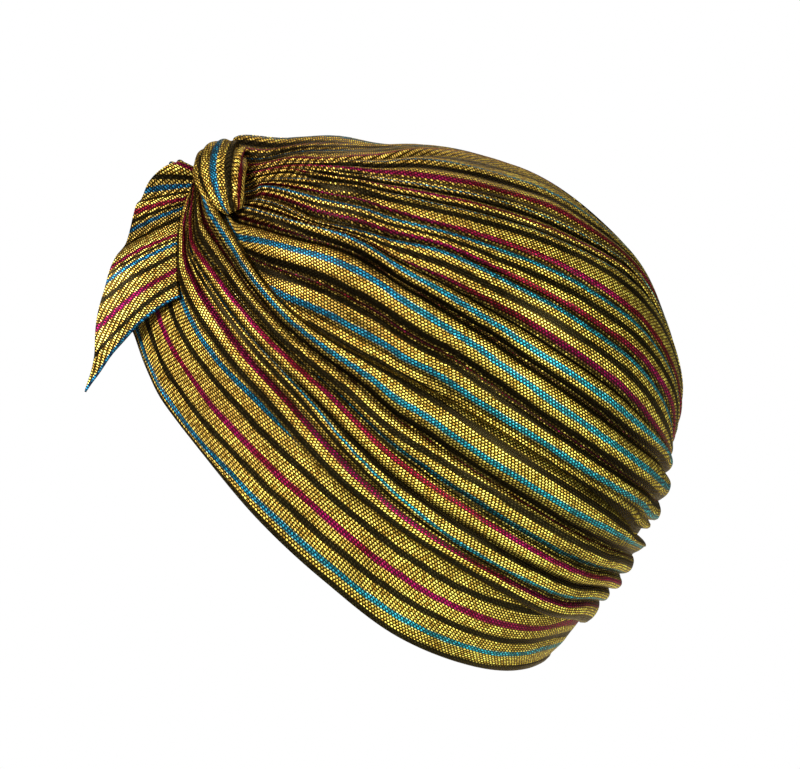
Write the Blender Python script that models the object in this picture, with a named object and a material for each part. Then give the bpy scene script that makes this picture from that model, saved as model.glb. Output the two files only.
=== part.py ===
# Pre-tied turban: striped stretch cloth gathered from a front knot to a seam at the centre back.
# Frame: +Z up, front towards -Y, the wearer's left towards +X. The origin is inside the top of the
# crown, where it rests on the head. Sizes are in millimetres and become metres in addMesh.
import math

import bpy
import numpy as np

metresPerMm = 0.001

# Driving sizes of the worn shape, in mm
halfWidth = 79.0          # from the mid-plane to the widest place, under the folds
formCentre = (3.9, -89.7)  # y, z that the outline's radii are measured from
sideFullness = 2.6        # how square the shape is seen from the side
widthFullness = 2.2       # how square it is seen from the front
knotPlace = (-62.0, -14.0)  # y, z of the knot
knotPinch = 0.30          # how much narrower the shape is there
pinchReach = 34.0         # distance from the knot at which most of that is gone
pinchRounds = 6           # rounds that find a distance from the mid-plane on the pinched shape
clothWall = 1.7
layerGap = 0.8            # free space between two layers of cloth
seamDip = 1.2             # how far the centre-back seam pulls the folds in
seamReach = 5.0           # how far from the mid-plane it does so
mirrorMerge = 0.00005     # metres

# Side outline of the head form under the folds: angle up from the back, radius
outlineRows = (
    (-90, 133.0), (-70, 126.0), (-60, 119.6), (-48, 112.4), (-35, 109.2), (-25, 109.8), (-15, 106.8),
    (-5, 107.2), (10, 105.0), (25, 102.2), (40, 97.6), (55, 94.2), (70, 91.9), (85, 90.6), (95, 91.6),
    (104, 95.4), (112, 98.0), (122, 100.0), (135, 103.5), (150, 105.0), (170, 109.5), (195, 116.0), (225, 127.0),
    (250, 132.0),
)

# Cross-sections from the knot to the centre-back seam. rim, edge and valley are y, z on the form:
# the opening, the lower edge of a wrap and the crease above it. crownAngle is where the section
# meets the mid-plane. wrapLift and crownLift raise the cloth where it gathers into the knot.
sectionColumns = ("rim", "edge", "valley", "crownAngle", "wrapLift", "crownLift")
sectionRows = {
    "knot": ((-100.8, -61.6), (-70.7, -17.7), (-67.0, -14.6), 128, 4.2, 1.2),
    "throat": ((-100.4, -66.0), (-72.8, -20.7), (-68.2, -17.0), 128, 3.0, 1.2),
    "shoulder": ((-98.2, -71.6), (-77.1, -28.7), (-65.9, -21.2), 128, 1.6, 1.2),
    "brow": ((-96.4, -76.4), (-79.8, -44.1), (-63.6, -25.4), 127, 0.8, 0.4),
    "collar": ((-92.6, -86.3), (-80.0, -50.8), (-62.5, -28.6), 126, 0.6, 11.0),
    "cap": ((-87.9, -96.0), (-77.9, -58.0), (-60.7, -31.8), 115, 0.4, 5.2),
    "temple": ((-82.1, -105.5), (-74.8, -64.5), (-58.5, -35.4), 103, 0.2, 0.9),
    "ear": ((-57.8, -135.9), (-48.1, -98.9), (-33.1, -66.6), 78, 0.0, 0.0),
    "middle": ((-27.4, -165.4), (-4.6, -141.3), (25.0, -98.6), 56, 0.0, 0.0),
    "rear": ((3.4, -187.9), (35.0, -166.7), (70.1, -127.4), 37, 0.0, 0.0),
    "nape": ((30.4, -198.7), (56.2, -178.3), (88.9, -142.1), 19, 0.0, 0.0),
    "gather": ((52.2, -200.2), (69.4, -181.0), (91.8, -147.2), 4, 0.0, 0.0),
    "seam": ((60.4, -197.0), (71.6, -181.3), (93.4, -148.0), -6, 0.0, 0.0),
}
sectionNames = list(sectionRows)
sectionPlaces = (0, 0.35, 0.7, 1, 1.35, 1.7, 2, 3, 4, 5, 6, 7, 8)

# Lines that the folds and stripes follow, as percentages of the way across at each section:
# a wrap's from its lower edge to the crease, the crown's from the crease to the mid-plane.
wrapLines = {
    "edge": (0,) * 13,
    "lowStripe": (30, 28, 26, 25, 24, 23, 23, 22, 19, 15, 12, 14, 21),
    "midStripe": (50, 48, 45, 42, 42, 44, 45, 47, 49, 43, 39, 43, 48),
    "ridge": (78, 78, 78, 79, 82, 84, 85, 86, 85, 78, 77, 83, 89),
    "crease": (100,) * 13,
}
crownLines = {
    "tuck": (-14, -14, -14, -14, -14, -14, -15, -9, -8, -11, -24, -42, -58),
    "foldStart": (-10, -10, -10, -10, -10, -10.5, -11, -3, -2, -1, 0, 0, 0),
    "firstBlue": (-5, -5, -5, -5, -6, -8, -8, 3, 4, 4, 7, 11, 18),
    "brightBlue": (4, 4, 4, 4, 3, 1, 2, 17, 14, 15, 21, 29, 43),
    "thirdBlue": (18, 18, 18, 18, 16, 14, 13, 24, 22, 25, 35, 48, 66),
    "redOne": (30, 30, 30, 30, 27, 24, 21, 30, 28, 32, 44, 60, 80),
    "redTwo": (42, 42, 42, 42, 38, 34, 30, 37, 38, 45, 55, 70, 88),
    "redThree": (54, 54, 54, 54, 50, 46, 41, 44, 49, 58, 68, 79, 92),
    "redFour": (66, 66, 66, 66, 62, 58, 53, 52, 61, 73, 82, 88, 95.5),
    "redFive": (80, 80, 80, 80, 77, 74, 69, 64, 76, 86, 92, 95, 98),
    "midline": (100,) * 13,
}

# Folds: from line to line (a line's number, and how far on to the next), then the height in mm
# at the knot, halfway and at the seam
foldColumns = ("start", "end", "atKnot", "halfway", "atSeam")
wrapFolds = {
    "hemFold": (0.0, 1.6, 1.0, 1.4, 2.8),
    "secondFold": (1.6, 2.3, 1.0, 1.8, 2.8),
    "goldFold": (2.3, 2.75, 0.8, 1.6, 2.6),
    "blueFold": (2.75, 4.0, 1.5, 2.4, 2.6),
}
crownFolds = {
    "hiddenFold": (1.0, 1.65, 0.4, 0.9, 2.2),
    "firstFold": (1.65, 2.5, 1.0, 2.2, 2.8),
    "brightFold": (2.5, 3.6, 1.4, 3.0, 3.0),
    "thirdFold": (3.6, 4.6, 1.4, 2.6, 2.8),
    "fourthFold": (4.6, 5.5, 1.4, 1.8, 1.8),
    "fifthFold": (5.5, 6.5, 1.5, 1.6, 1.4),
    "sixthFold": (6.5, 7.5, 1.5, 1.4, 1.1),
    "seventhFold": (7.5, 8.5, 1.5, 1.3, 0.9),
    "eighthFold": (8.5, 9.4, 1.3, 1.2, 0.7),
    "topFold": (9.4, 10.6, 1.2, 1.1, 0.6),
}
foldRoundness = 2.2
halfwayPlace = 3.5        # section place of the folds' halfway height
wrapShadow = 0.08         # share of the crown, next to the wrap, where its folds flatten out
knotLine = (130.4, 30.0)  # angle of the knot's middle line on the outline, and half its length
knotRoom = (5.0, 10.0)    # the crown lies flat within the first distance of it, and is full height
                          # at the second

# Knot: a thick loop of cloth over the front of the crown. Each row is a place along it:
# distance from the mid-plane, angle on the outline, height of its middle over the form,
# half its width along the head and half its thickness.
knotRows = (
    (33.0, 131.0, 4.4, 5.4, 3.2),
    (30.5, 130.6, 6.4, 9.0, 5.4),
    (24.0, 130.2, 7.6, 10.0, 6.6),
    (15.5, 130.2, 8.4, 9.4, 6.8),
    (7.5, 130.6, 8.6, 8.0, 6.2),
    (0.0, 131.2, 8.0, 7.2, 5.8),
)
knotPleats = 3
knotPleatHeight = 0.7
knotTurn = 0.9            # how far the pleats turn round the loop from its middle to its end, rad
knotSteps = 18
knotRing = 18

# Neck: the pinched cloth in front of the loop, between the starts of the two wraps. Rows are a
# place across it: distance from the mid-plane, half its width along the head, half its thickness.
neckRows = (
    (0.0, 4.6, 7.2),
    (4.4, 4.4, 6.8),
    (6.2, 3.8, 5.4),
    (7.0, 2.6, 3.4),
)
neckAngle = 137.2
neckLift = 10.4
neckPleats = 4
neckPleatHeight = 0.5
neckRing = 16

# Tail: a leaf of pleated cloth. Each row is a line from its root beside the left wrap to its free
# edge: x, y, z of both ends, how far it bows upwards, and how high it stands (folds and valleys).
tailRows = (
    ((9.6, -75.8, -8.9), (9.0, -80.1, -5.4), 0.0, 0.0),
    ((10.0, -76.6, -11.2), (9.6, -86.6, -8.1), 0.5, 1.5),
    ((10.4, -77.0, -13.1), (10.4, -92.4, -12.7), 0.5, -1.0),
    ((11.0, -77.4, -15.8), (11.6, -95.5, -19.6), 0.5, -1.2),
    ((11.8, -78.2, -18.9), (13.6, -97.8, -24.6), 0.5, 1.2),
    ((14.0, -80.1, -25.0), (18.0, -101.3, -35.0), 0.5, -1.8),
    ((19.0, -81.2, -32.7), (24.0, -105.8, -45.0), 1.0, 0.6),
    ((28.0, -81.6, -39.7), (29.0, -109.4, -56.2), 1.0, 0.4),
    ((36.0, -81.6, -46.6), (33.0, -112.7, -68.5), 1.5, -0.3),
    ((42.0, -81.2, -52.7), (35.0, -113.0, -80.9), 2.5, 0.2),
    ((47.0, -80.5, -57.8), (36.0, -116.7, -94.3), 5.5, 0.0),
)
tailWall = 1.3
tailRise = 2.0            # least distance of its root from the form
rootStand = 0.3           # how high its folds stand at the root, as a part of their height
tailSteps = (8, 2)        # from the root to the free edge, and between two rows

# Steps of the meshes
stepsPerFold = 4
bandPlaces = (0, 0.35, 0.7, 1, 1.3, 1.65, 2, 2.4, 2.8, 3.2, 3.6, 4, 4.4, 4.8, 5.2, 5.6, 6, 6.4, 6.8,
              7.2, 7.6, 8)
wrapPlaces = (0.25,) + bandPlaces[1:]
crownPlaces = (0.85, 1, 1.2, 1.4, 1.65) + bandPlaces[6:]
bandSteps = 4
bandTuck = (0.22, 0.38)    # how far past the wrap's edge the band goes, in front and at the back,
                          # as a part of its height


def smoothThrough(knots, values, at):
    """Smooth curve through values at knots, with level ends."""
    knots, values, at = (np.asarray(x, float) for x in (knots, values, at))
    steps = np.diff(knots)
    slopes = np.diff(values) / steps
    tangents = np.zeros(len(values))
    tangents[1:-1] = (slopes[:-1] * steps[1:] + slopes[1:] * steps[:-1]) / (steps[:-1] + steps[1:])
    i = np.clip(np.searchsorted(knots, at, side="right") - 1, 0, len(steps) - 1)
    t = (at - knots[i]) / steps[i]
    return (
        (2 * t**3 - 3 * t**2 + 1) * values[i]
        + (t**3 - 2 * t**2 + t) * steps[i] * tangents[i]
        + (3 * t**2 - 2 * t**3) * values[i + 1]
        + (t**3 - t**2) * steps[i] * tangents[i + 1]
    )


def outlineRadius(degrees):
    """Radius of the side outline in any direction."""
    angles = [row[0] for row in outlineRows]
    radii = [row[1] for row in outlineRows]
    wrapped = (np.asarray(degrees, float) + 90) % 360 - 90
    knots = [angles[-2] - 360, angles[-1] - 360] + angles + [angles[0] + 360, angles[1] + 360]
    values = [radii[-2], radii[-1]] + radii + [radii[0], radii[1]]
    return smoothThrough(knots, values, wrapped)


def directionOf(y, z):
    """Unit direction whose place on the form shows at y, z from the side."""
    dy, dz = y - formCentre[0], z - formCentre[1]
    share = min(math.hypot(dy, dz) / float(outlineRadius(math.degrees(math.atan2(dz, dy)))), 1.0)
    angle = math.atan2(dz, dy)
    return np.array([math.sqrt(1 - share**2), share * math.cos(angle), share * math.sin(angle)])


def placeOf(directions):
    """Places on the form in unit directions."""
    x, y, z = np.moveaxis(directions, -1, 0)
    share = np.clip(np.hypot(y, z), 0, 1)
    radius = outlineRadius(np.degrees(np.arctan2(z, y)))
    width = halfWidth * np.clip(1 - share**sideFullness, 0, 1) ** (1 / widthFullness)
    y, z = formCentre[0] + radius * y, formCentre[1] + radius * z
    away = np.hypot(y - knotPlace[0], z - knotPlace[1])
    width = width * (1 - knotPinch * np.exp(-((away / pinchReach) ** 2)))
    return np.stack([np.sign(x) * width, y, z], axis=-1)


def sectionLine(column, places):
    """Directions along a line that runs through every section, such as the rim."""
    index = sectionColumns.index(column)
    if column == "crownAngle":
        angles = smoothThrough(sectionPlaces, [row[index] for row in sectionRows.values()], places)
        return np.stack([0 * angles, np.cos(np.radians(angles)), np.sin(np.radians(angles))], axis=-1)
    points = np.array([directionOf(*row[index]) for row in sectionRows.values()])
    points[[0, -1], 0] = 0
    # Past both ends the line goes on as its own mirror image.
    before, after = points[1] * (-1, 1, 1), points[-2] * (-1, 1, 1)
    knots = [-sectionPlaces[1]] + list(sectionPlaces) + [2 * sectionPlaces[-1] - sectionPlaces[-2]]
    points = np.vstack([before, points, after])
    line = np.stack([smoothThrough(knots, points[:, k], places) for k in range(3)], axis=-1)
    line[:, 0] = np.maximum(line[:, 0], 0)
    return line / np.linalg.norm(line, axis=1, keepdims=True)


def sectionLift(column, places):
    """Lift of the cloth at each place, in mm."""
    index = sectionColumns.index(column)
    return smoothThrough(sectionPlaces, [row[index] for row in sectionRows.values()], places)


def between(low, high, share):
    """Directions a share of the way along the arc from low to high, and past its ends."""
    low, high, share = low[:, None], high[:, None], share[..., None]
    angle = np.arccos(np.clip((low * high).sum(-1, keepdims=True), -1, 1))
    mixed = np.sin((1 - share) * angle) * low + np.sin(share * angle) * high
    return mixed / np.linalg.norm(mixed, axis=-1, keepdims=True)


def lineShares(lines, places, steps):
    """Share of the way across at each place, for line numbers that may lie between two lines."""
    table = np.array([smoothThrough(sectionPlaces, row, places) for row in lines.values()]) / 100
    lower = np.clip(np.floor(steps).astype(int), 0, len(table) - 2)
    onward = steps - lower
    return (table[lower] * (1 - onward)[:, None] + table[lower + 1] * onward[:, None]).T


def normalsAt(directions):
    """Outward normals of the form."""
    small = 0.004
    helper = np.where(np.abs(directions[..., :1]) > 0.9, (0.0, 1.0, 0.0), (1.0, 0.0, 0.0))
    across = np.cross(directions, helper)
    across /= np.linalg.norm(across, axis=-1, keepdims=True)
    along = np.cross(directions, across)

    def change(way):
        ends = [directions + side * small * way for side in (1, -1)]
        ends = [end / np.linalg.norm(end, axis=-1, keepdims=True) for end in ends]
        return placeOf(ends[0]) - placeOf(ends[1])

    normals = np.cross(change(across), change(along))
    normals *= np.sign((normals * directions).sum(-1, keepdims=True))
    return normals / np.linalg.norm(normals, axis=-1, keepdims=True)


def foldSteps(folds):
    """Line numbers of a mesh's rows: every fold gets the same number of steps."""
    steps = [0.0] if min(row[0] for row in folds.values()) > 0 else []
    for start, end, *_ in folds.values():
        steps += list(np.linspace(start, end, stepsPerFold, endpoint=False))
    return steps


def foldHeights(folds, places, steps):
    """Height of the folds over the form at each place and line number, in mm."""
    steps = np.asarray(steps)
    heights = np.zeros((len(places), len(steps)))
    for start, end, *sizes in folds.values():
        t = np.clip((steps - start) / (end - start), 0, 1)
        profile = 1 - np.abs(2 * t - 1) ** foldRoundness
        height = smoothThrough((0, halfwayPlace, sectionPlaces[-1]), sizes, places)
        heights += height[:, None] * profile
    return heights


def seamPull(places, x):
    """How far the centre-back seam draws the cloth in, in mm."""
    nearSeam = np.clip(np.asarray(places) - sectionPlaces[-2], 0, 1)[:, None]
    return seamDip * nearSeam * np.exp(-((x / seamReach) ** 2))


def awayFromKnot(directions):
    """0 under the knot, rising to 1 beside it."""
    base = placeOf(directions)
    angle = np.arctan2(directions[..., 2], directions[..., 1])
    along = (math.radians(knotLine[0]) - angle) * np.hypot(*np.moveaxis(base[..., 1:] - formCentre, -1, 0))
    beyond = np.maximum(np.abs(base[..., 0]) - knotLine[1], 0)
    share = np.clip((np.hypot(along, beyond) - knotRoom[0]) / (knotRoom[1] - knotRoom[0]), 0, 1)
    return share**2 * (3 - 2 * share)


def clothLayers(directions, heights, places):
    """Outer and inner points of a wall whose outer side is heights over the form."""
    base, normals = placeOf(directions), normalsAt(directions)
    middle = directions[..., 0] < 1e-6
    normals[middle, 0] = 0
    normals /= np.linalg.norm(normals, axis=-1, keepdims=True)
    base[middle, 0] = 0
    heights = (heights - seamPull(places, base[..., 0]))[..., None]
    return base + normals * heights, base + normals * (heights - clothWall)


def material(name, colour, roughness, metallic):
    made = bpy.data.materials.new(name)
    made.use_nodes = True
    shader = made.node_tree.nodes["Principled BSDF"]
    shader.inputs["Base Color"].default_value = (*colour, 1)
    shader.inputs["Roughness"].default_value = roughness
    shader.inputs["Metallic"].default_value = metallic
    made.diffuse_color = (*colour, 1)
    return made


def addMesh(name, points, faces, paint, mirrored=False):
    """Add one object from points in mm; a mirrored one is joined with its image across X = 0."""
    mesh = bpy.data.meshes.new(name)
    mesh.from_pydata([tuple(float(c) * metresPerMm for c in p) for p in points], [], faces)
    mesh.validate()
    mesh.shade_smooth()
    mesh.materials.append(paint)
    made = bpy.data.objects.new(name, mesh)
    bpy.context.scene.collection.objects.link(made)
    if mirrored:
        mirror = made.modifiers.new("Mirror", "MIRROR")
        mirror.merge_threshold = mirrorMerge
    return made


def shell(outer, inner, openSides=()):
    """Points and faces of a wall between two grids. openSides are left for a mirror to close."""
    rows, columns = outer.shape[:2]
    points = np.concatenate([outer.reshape(-1, 3), inner.reshape(-1, 3)])
    number = np.arange(rows * columns).reshape(rows, columns)
    under = number + rows * columns
    faces = []
    for i in range(rows - 1):
        for j in range(columns - 1):
            faces.append((number[i, j], number[i + 1, j], number[i + 1, j + 1], number[i, j + 1]))
            faces.append((under[i, j], under[i, j + 1], under[i + 1, j + 1], under[i + 1, j]))
    borders = {
        "first": (number[0, ::-1], under[0, ::-1]),
        "last": (number[-1], under[-1]),
        "low": (number[:, 0], under[:, 0]),
        "high": (number[::-1, -1], under[::-1, -1]),
    }
    for side, (top, bottom) in borders.items():
        if side not in openSides:
            for k in range(len(top) - 1):
                faces.append((top[k + 1], top[k], bottom[k], bottom[k + 1]))
    return points, [tuple(int(i) for i in face) for face in faces]


def turnedOut(points, faces):
    """The faces, turned round if they face inwards."""
    volume = 0.0
    for face in faces:
        a = points[face[0]]
        for k in range(1, len(face) - 1):
            volume += np.dot(a, np.cross(points[face[k]], points[face[k + 1]]))
    return faces if volume > 0 else [face[::-1] for face in faces]


def headBand():
    """Closed band round the opening, tucked under the wraps at its top."""
    places = np.array(bandPlaces)
    low, high = sectionLine("rim", places), sectionLine("edge", places)
    tops = 1 + np.interp(places, (0, sectionPlaces[-1]), bandTuck)
    directions = between(low, high, tops[:, None] * np.linspace(0, 1, bandSteps + 1))
    outer, inner = clothLayers(directions, np.zeros(directions.shape[:2]), places)
    points, faces = shell(outer, inner, openSides=("first", "last"))
    paint = material("bandCloth", (0.42, 0.33, 0.10), 0.45, 0.6)
    addMesh("head_band", points, turnedOut(points, faces), paint, mirrored=True)


def wraps():
    """The pleated piece over each side, from the knot to the seam."""
    places = np.array(wrapPlaces)
    steps = np.array(foldSteps(wrapFolds) + [float(len(wrapLines) - 1)])
    low, high = sectionLine("edge", places), sectionLine("valley", places)
    directions = between(low, high, lineShares(wrapLines, places, steps))
    heights = foldHeights(wrapFolds, places, steps) + sectionLift("wrapLift", places)[:, None]
    outer, inner = clothLayers(directions, heights + layerGap + clothWall, places)
    points, faces = shell(outer, inner)
    points[:, 0] = np.maximum(points[:, 0], layerGap / 2)
    paint = material("wrapCloth", (0.45, 0.35, 0.11), 0.45, 0.6)
    addMesh("left_wrap", points, turnedOut(points, faces), paint)
    points = points * (-1, 1, 1)
    addMesh("right_wrap", points, turnedOut(points, faces), paint)


def crown():
    """Pleated cap between the wraps, with the hollow for the head under it."""
    places = np.array(crownPlaces)
    steps = np.array(foldSteps(crownFolds))
    steps = np.append(steps[steps < len(crownLines) - 1], len(crownLines) - 1.0)
    low, high = sectionLine("valley", places), sectionLine("crownAngle", places)
    shares = lineShares(crownLines, places, steps)
    directions = between(low, high, shares)
    lift = sectionLift("crownLift", places)[:, None] * np.sin(np.clip(shares, 0, 1) ** 2 * math.pi / 2) ** 2
    heights = foldHeights(crownFolds, places, steps) * np.clip(shares / wrapShadow, 0, 1) + lift
    outer, inner = clothLayers(directions, heights * awayFromKnot(directions), places)
    points, faces = shell(outer, inner, openSides=("high", "last"))
    paint = material("crownCloth", (0.40, 0.31, 0.09), 0.45, 0.6)
    addMesh("crown", points, turnedOut(points, faces), paint, mirrored=True)


def knot():
    """The loop of the twisted knot."""
    along = np.linspace(-1, 1, knotSteps + 1)
    knots = np.linspace(0, 1, len(knotRows))
    columns = (smoothThrough(knots, [row[k] for row in knotRows[::-1]], abs(along)) for k in range(5))
    side, angle, lift, wide, thick = columns
    centres, across, outward = formFrames(side, angle, lift, np.sign(along))
    points, faces = tubeAlong(
        centres, across, outward, wide, thick, knotPleats, knotPleatHeight, knotTurn * along, knotRing
    )
    paint = material("knotCloth", (0.50, 0.40, 0.12), 0.42, 0.6)
    addMesh("knot", points, turnedOut(points, faces), paint)


def tubeAlong(centres, across, upward, wide, thick, pleats, pleatHeight, turnAlong, ring):
    """Points and faces of a closed tube of an oval section with rounded pleats."""
    points, faces = [], []
    for i, centre in enumerate(centres):
        for k in range(ring):
            turn = 2 * math.pi * k / ring
            reach = 1 + pleatHeight * math.cos(2 * pleats * (turn + turnAlong[i])) / (wide[i] + thick[i])
            points.append(
                centre
                + across[i] * wide[i] * reach * math.cos(turn)
                + upward[i] * thick[i] * reach * math.sin(turn)
            )
    for i in range(len(centres) - 1):
        for k in range(ring):
            onward = (k + 1) % ring
            faces.append((i * ring + k, (i + 1) * ring + k, (i + 1) * ring + onward, i * ring + onward))
    faces.append(tuple(range(ring)))
    faces.append(tuple((len(centres) - 1) * ring + k for k in reversed(range(ring))))
    return np.array(points), faces


def formFrames(side, angle, lift, signs):
    """Places over the form at a distance from the mid-plane, with the way along and the way out."""
    width = np.array(side, float)
    for _ in range(pinchRounds):
        share = (1 - (width / halfWidth) ** widthFullness) ** (1 / sideFullness)
        directions = np.stack(
            [
                np.sqrt(1 - share**2) * signs,
                share * np.cos(np.radians(angle)),
                share * np.sin(np.radians(angle)),
            ],
            axis=-1,
        )
        width *= (side + 1e-9) / (np.abs(placeOf(directions)[:, 0]) + 1e-9)
    outward = normalsAt(directions)
    outward[side < 1e-6, 0] = 0
    centres = placeOf(directions) + outward * np.reshape(lift, (-1, 1))
    path = np.gradient(centres, axis=0)
    path /= np.linalg.norm(path, axis=1, keepdims=True)
    outward -= path * (outward * path).sum(1, keepdims=True)
    outward /= np.linalg.norm(outward, axis=1, keepdims=True)
    return centres, np.cross(path, outward), outward


def knotNeck():
    """The pinched cloth in front of the loop."""
    side, wide, thick = (np.array([row[k] for row in neckRows]) for k in range(3))
    side, wide, thick = (np.concatenate([x[::-1], x[1:]]) for x in (side, wide, thick))
    signs = np.sign(np.arange(len(side)) - len(neckRows) + 1.0)
    angle, lift = np.full(len(side), neckAngle), np.full(len(side), neckLift)
    centres, across, outward = formFrames(side, angle, lift, signs)
    points, faces = tubeAlong(
        centres, across, outward, wide, thick, neckPleats, neckPleatHeight, 0 * side, neckRing
    )
    paint = material("neckCloth", (0.48, 0.38, 0.11), 0.42, 0.6)
    addMesh("knot_neck", points, turnedOut(points, faces), paint)


def tail():
    """The free end of the cloth that hangs in front."""
    rows = np.linspace(0, len(tailRows) - 1, (len(tailRows) - 1) * tailSteps[1] + 1)
    knots = range(len(tailRows))
    root = np.stack([smoothThrough(knots, [r[0][k] for r in tailRows], rows) for k in range(3)], axis=-1)
    free = np.stack([smoothThrough(knots, [r[1][k] for r in tailRows], rows) for k in range(3)], axis=-1)
    onForm = placeOf(np.array([directionOf(y, z) for y, z in root[:, 1:]]))[:, 0]
    root[:, 0] = np.maximum(root[:, 0], onForm + tailRise)
    bow = smoothThrough(knots, [r[2] for r in tailRows], rows)
    stand = smoothThrough(knots, [r[3] for r in tailRows], rows)
    onward = np.linspace(0, 1, tailSteps[0] + 1)
    middle = root[:, None] + (free - root)[:, None] * onward[:, None]
    middle[..., 2] += bow[:, None] * 4 * onward * (1 - onward)
    normals = np.cross(np.gradient(middle, axis=1), np.gradient(middle, axis=0))
    normals /= np.linalg.norm(normals, axis=-1, keepdims=True)
    normals *= np.sign(normals[..., :1])
    middle = middle + normals * (stand[:, None] * (rootStand + (1 - rootStand) * onward))[..., None]
    points, faces = shell(middle + normals * tailWall / 2, middle - normals * tailWall / 2)
    paint = material("tailCloth", (0.50, 0.40, 0.12), 0.45, 0.6)
    addMesh("tail", points, turnedOut(points, faces), paint)


for old in list(bpy.data.objects):
    bpy.data.objects.remove(old, do_unlink=True)
headBand()
wraps()
crown()
knot()
knotNeck()
tail()
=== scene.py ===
# Looks of a ready-tied turban: striped metallic stretch cloth, gathered from a knot in front to a
# seam at the centre back. Lengths are in mm, and clothMesh makes them metres. The pieces follow
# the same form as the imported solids, with finer folds, and hold the same places.
import math

import bpy
import numpy as np
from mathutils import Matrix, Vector


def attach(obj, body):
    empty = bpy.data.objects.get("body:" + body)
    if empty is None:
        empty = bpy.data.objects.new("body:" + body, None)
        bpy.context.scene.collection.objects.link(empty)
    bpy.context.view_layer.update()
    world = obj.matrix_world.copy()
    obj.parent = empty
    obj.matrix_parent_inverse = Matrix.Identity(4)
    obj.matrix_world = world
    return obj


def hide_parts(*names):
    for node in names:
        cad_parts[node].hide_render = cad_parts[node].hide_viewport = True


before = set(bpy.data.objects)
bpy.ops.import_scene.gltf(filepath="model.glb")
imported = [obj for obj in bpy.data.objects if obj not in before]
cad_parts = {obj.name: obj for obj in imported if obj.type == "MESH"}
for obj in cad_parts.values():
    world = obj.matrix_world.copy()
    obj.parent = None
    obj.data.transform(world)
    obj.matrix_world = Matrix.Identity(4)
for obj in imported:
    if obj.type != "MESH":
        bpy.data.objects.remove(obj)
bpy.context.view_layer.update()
scene = bpy.context.scene
millimetre = 0.001   # in metres
print("frame loaded")

# The worn form that every piece lies on
formShape = {
    "halfWidth": 79.0,   # from the mid-plane to the widest place
    "centre": (3.9, -89.7),   # y, z that the outline's radii are measured from
    "sideFullness": 2.6,
    "widthFullness": 2.2,
    "knotPlace": (-62.0, -14.0),   # y, z of the knot, where the form is pinched
    "knotPinch": 0.30,
    "pinchReach": 34.0,
    "outline": (   # angle up from the back, radius
        (-90, 133.0), (-70, 126.0), (-60, 119.6), (-48, 112.4), (-35, 109.2), (-25, 109.8),
        (-15, 106.8), (-5, 107.2), (10, 105.0), (25, 102.2), (40, 97.6), (55, 94.2), (70, 91.9),
        (85, 90.6), (95, 91.6), (104, 95.4), (112, 98.0), (122, 100.0), (135, 103.5), (150, 105.0),
        (170, 109.5), (195, 116.0), (225, 127.0), (250, 132.0),
    ),
}

# Cross-sections from the knot to the seam: y, z of the opening's edge, of a wrap's lower edge and
# of the crease above it, then the crown's angle at the mid-plane and the lifts at the knot
sectionPlaces = (0, 0.35, 0.7, 1, 1.35, 1.7, 2, 3, 4, 5, 6, 7, 8)
seamPlace = sectionPlaces[-1]
sections = (
    ((-100.8, -61.6), (-70.7, -17.7), (-67.0, -14.6), 128, 4.2, 1.2),
    ((-100.4, -66.0), (-72.8, -20.7), (-68.2, -17.0), 128, 3.0, 1.2),
    ((-98.2, -71.6), (-77.1, -28.7), (-65.9, -21.2), 128, 1.6, 1.2),
    ((-96.4, -76.4), (-79.8, -44.1), (-63.6, -25.4), 128, 0.8, 7.0),
    ((-92.6, -86.3), (-80.0, -50.8), (-62.5, -28.6), 124.5, 0.6, 11.0),
    ((-87.9, -96.0), (-77.9, -58.0), (-60.7, -31.8), 115, 0.4, 3.0),
    ((-81.5, -105.0), (-74.8, -64.5), (-58.5, -35.4), 103, 0.2, 0.0),
    ((-57.3, -135.2), (-48.1, -98.9), (-33.1, -66.6), 78, 0.0, 0.0),
    ((-27.0, -164.8), (-4.6, -141.3), (25.0, -98.6), 56, 0.0, 0.0),
    ((3.4, -187.9), (35.0, -166.7), (70.1, -127.4), 37, 0.0, 0.0),
    ((30.4, -198.7), (56.2, -178.3), (88.9, -142.1), 19, 0.0, 0.0),
    ((52.2, -200.2), (69.4, -181.0), (91.8, -147.2), 4, 0.0, 0.0),
    ((60.4, -197.0), (71.6, -181.3), (93.4, -148.0), -6, 0.0, 0.0),
)
rimColumn, edgeColumn, valleyColumn, angleColumn, wrapLiftColumn, crownLiftColumn = range(6)


def smoothThrough(knots, values, at):
    knots, values, at = (np.asarray(x, float) for x in (knots, values, at))
    steps = np.diff(knots)
    slopes = np.diff(values) / steps
    tangents = np.zeros(len(values))
    tangents[1:-1] = (slopes[:-1] * steps[1:] + slopes[1:] * steps[:-1]) / (steps[:-1] + steps[1:])
    i = np.clip(np.searchsorted(knots, at, side="right") - 1, 0, len(steps) - 1)
    t = (at - knots[i]) / steps[i]
    return (
        (2 * t**3 - 3 * t**2 + 1) * values[i]
        + (t**3 - 2 * t**2 + t) * steps[i] * tangents[i]
        + (3 * t**2 - 2 * t**3) * values[i + 1]
        + (t**3 - t**2) * steps[i] * tangents[i + 1]
    )


def eased01(x):
    x = np.clip(x, 0, 1)
    return x * x * (3 - 2 * x)


def outlineRadius(degrees):
    angles, radii = (list(column) for column in zip(*formShape["outline"]))
    wrapped = (np.asarray(degrees, float) + 90) % 360 - 90
    knots = [angles[-2] - 360, angles[-1] - 360] + angles + [angles[0] + 360, angles[1] + 360]
    return smoothThrough(knots, radii[-2:] + radii + radii[:2], wrapped)


def directionOf(y, z):
    # unit direction whose place on the form shows at y, z from the side
    dy, dz = y - formShape["centre"][0], z - formShape["centre"][1]
    angle = math.atan2(dz, dy)
    share = min(math.hypot(dy, dz) / float(outlineRadius(math.degrees(angle))), 1.0)
    return np.array([math.sqrt(1 - share**2), share * math.cos(angle), share * math.sin(angle)])


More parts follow.
